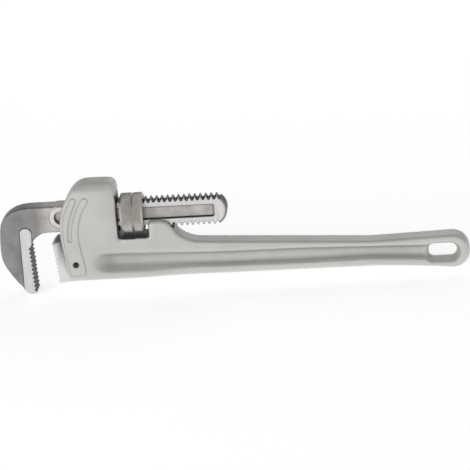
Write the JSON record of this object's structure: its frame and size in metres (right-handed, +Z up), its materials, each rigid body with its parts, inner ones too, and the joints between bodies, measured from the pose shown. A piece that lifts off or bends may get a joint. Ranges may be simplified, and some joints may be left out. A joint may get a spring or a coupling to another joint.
{
  "type": "pipe wrench",
  "caption": "Straight-pattern adjustable pipe wrench: hook jaw on a threaded shank, knurled nut, toothed heel jaw, cast I-beam handle with a hang slot.",
  "frame": {"origin": "under the middle of the wrench's length and thickness, on the surface that it stands on by its hook tip and grip end", "axes": "+X along the screw from the jaws to the grip end, +Y through the thickness from the front side to the back, +Z up, away from the heel side"},
  "size_m": [0.4101, 0.0348, 0.0989],
  "materials": {
    "handle_casting": "cast aluminium with a satin silver-grey coating",
    "ground_steel": "ground alloy steel, bright",
    "forged_steel": "forged alloy steel, dark heat-treated scale with ground lands",
    "nut_steel": "knurled steel, phosphated grey-brown",
    "pin_steel": "blackened spring steel",
    "spring_steel": "oil-tempered spring steel"
  },
  "bodies": {
    "handle": {"handle_casting": "handle_casting", "heel_jaw": "ground_steel", "heel_jaw_pin": "pin_steel", "coil_spring": "spring_steel"},
    "rocker": {"flat_spring": "spring_steel", "spring_rivet": "pin_steel"},
    "nut": {"adjusting_nut": "nut_steel"},
    "jaw": {"hook_jaw": "forged_steel"}
  },
  "joints": [
    {"name": "jaw_rock", "type": "hinge", "parent": "handle", "child": "rocker", "pos_m": [-0.08704, 0, 0.06687], "axis": [0, -1, 0], "range_deg": [0, 3], "stiffness_Nm_per_rad": 20, "springref_deg": -5.73, "deforming": ["coil_spring"]},
    {"name": "nut_spin", "type": "hinge", "parent": "rocker", "child": "nut", "pos_m": [-0.08704, 0, 0.06687], "axis": [1, 0, 0], "range_deg": [-901, 3421]},
    {"name": "jaw_slide", "type": "slide", "parent": "rocker", "child": "jaw", "axis": [-1, 0, 0], "range_m": [-0.012, 0.0456]}
  ],
  "couplings": [
    {"joint": "nut_spin", "follows": "jaw_slide", "rad_per_m": 1309}
  ]
}
